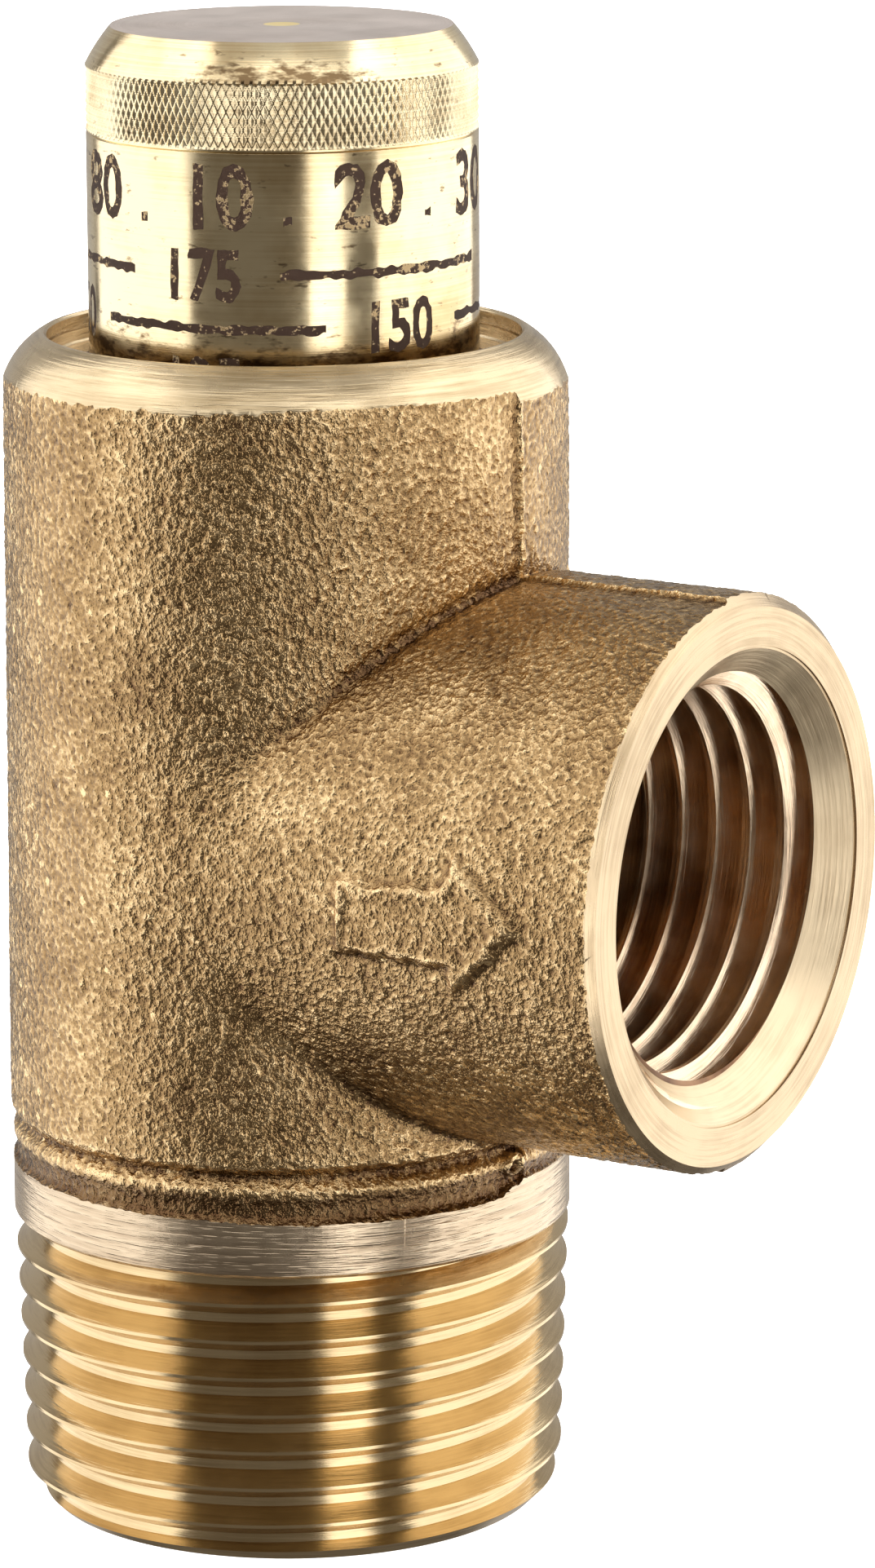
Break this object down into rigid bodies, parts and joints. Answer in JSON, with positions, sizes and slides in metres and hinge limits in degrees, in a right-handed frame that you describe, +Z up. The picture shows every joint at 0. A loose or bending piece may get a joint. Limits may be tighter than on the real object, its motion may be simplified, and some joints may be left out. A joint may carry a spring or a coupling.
{
  "type": "pressure relief valve",
  "caption": "Cast brass tee-bodied pressure relief valve with a male pipe thread below, a female outlet at the side and a knurled screw cap with a pressure scale.",
  "frame": {"origin": "centre of the inlet bore's mouth in the inlet's end face, on the valve axis", "axes": "+Z up the valve axis to the cap, +X along the outlet axis and out of the outlet"},
  "size_m": [0.0382, 0.0272, 0.0709],
  "materials": {
    "brass_casting": "sand cast, with machined faces and threads",
    "machined_brass": "turned, satin",
    "stainless": "bright drawn or turned",
    "seal_rubber": "matte",
    "black_paint": "worn filling paint"
  },
  "bodies": {
    "body": {"valve_body": "brass_casting", "seat_nozzle": "stainless", "cap_o_ring": "seal_rubber", "set_spring": "stainless"},
    "setting": {"upper_spring_button": "machined_brass", "thrust_ball": "stainless"},
    "cap": {"calibrated_cap": "machined_brass", "scale_paint": "black_paint"},
    "disc": {"disc_holder": "machined_brass", "seat_disc": "seal_rubber", "disc_washer": "stainless", "disc_screw": "stainless", "lower_spring_washer": "stainless"}
  },
  "joints": [
    {"name": "cap_travel", "type": "slide", "parent": "body", "child": "setting", "axis": [0, 0, 1], "range_m": [-0.0038, 0.0062], "deforming": ["set_spring"]},
    {"name": "cap_turn", "type": "hinge", "parent": "setting", "child": "cap", "pos_m": [0, 0, 0.06], "axis": [0, 0, 1], "range_deg": [-913, 1489]},
    {"name": "disc_lift", "type": "slide", "parent": "body", "child": "disc", "axis": [0, 0, 1], "range_m": [0, 0.0022], "stiffness_N_per_m": 5280, "springref_m": -0.0137, "deforming": ["set_spring"]}
  ],
  "couplings": [
    {"joint": "cap_turn", "follows": "cap_travel", "rad_per_m": 4188.8}
  ]
}
